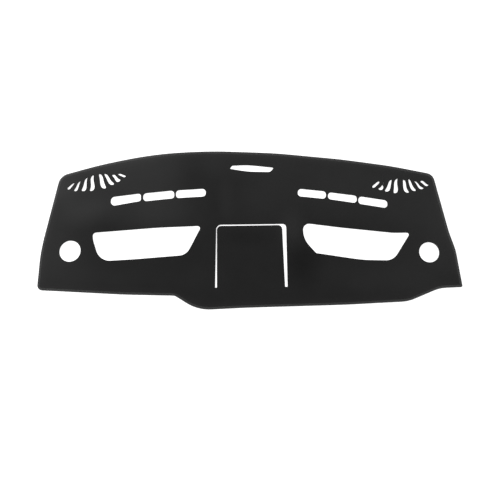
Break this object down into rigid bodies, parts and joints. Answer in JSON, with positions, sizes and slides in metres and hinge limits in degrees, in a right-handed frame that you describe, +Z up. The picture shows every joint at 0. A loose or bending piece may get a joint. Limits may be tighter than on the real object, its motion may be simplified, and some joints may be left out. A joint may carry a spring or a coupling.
{
  "type": "dashboard cover mat",
  "caption": "Flat die-cut flannel mat shaped to cover a car dashboard, with openings for vents and a slit-cut tongue, edged with sewn thread.",
  "frame": {"origin": "under the middle of the mat's outline, on the surface that it lies on", "axes": "+X along the dashboard to the right of the picture, +Y towards the windscreen, +Z up out of the pile side"},
  "size_m": [1.3996, 0.5208, 0.0043],
  "materials": {
    "flannel": "short raised pile, matt black",
    "thread": "close overlock stitching, matt black"
  },
  "bodies": {
    "root": {"mat_sheet": "flannel", "serged_edging": "thread"}
  },
  "joints": []
}
